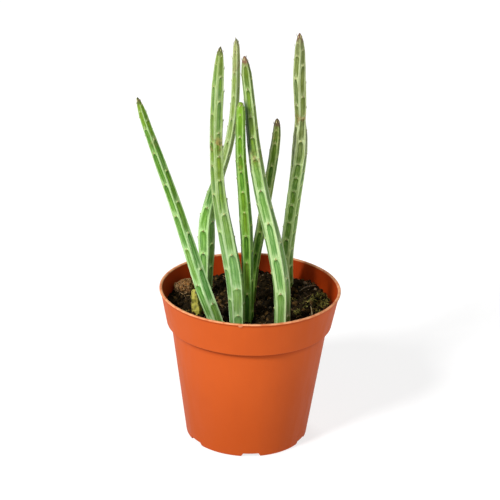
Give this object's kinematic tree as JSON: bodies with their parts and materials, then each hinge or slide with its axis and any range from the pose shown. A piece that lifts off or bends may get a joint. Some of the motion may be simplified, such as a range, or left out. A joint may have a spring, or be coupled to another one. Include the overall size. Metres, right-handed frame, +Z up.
{
  "type": "potted pickle plant",
  "caption": "Small banded nursery pot of dark soil with slender upright ribbed succulent stems, their pointed tips rising high above the rim.",
  "frame": {"origin": "centre of the pot's flat underside, on the surface that it stands on", "axes": "+Z up along the pot's axis; -Y towards the side that the picture shows; +X to the viewer's right"},
  "size_m": [0.1169, 0.105, 0.2412],
  "materials": {
    "pot_plastic": "satin",
    "peat": "matte",
    "coir": "matte",
    "green_stem": "satin",
    "withered_stem": "matte"
  },
  "bodies": {
    "root": {"pot": "pot_plastic", "soil": "peat", "fibre_lump": "coir", "withered_stub": "withered_stem", "stem_left": "green_stem", "stem_centre_left": "green_stem", "stem_back": "green_stem", "stem_centre": "green_stem", "stem_centre_right": "green_stem", "stem_slim": "green_stem", "stem_right": "green_stem"}
  },
  "joints": []
}
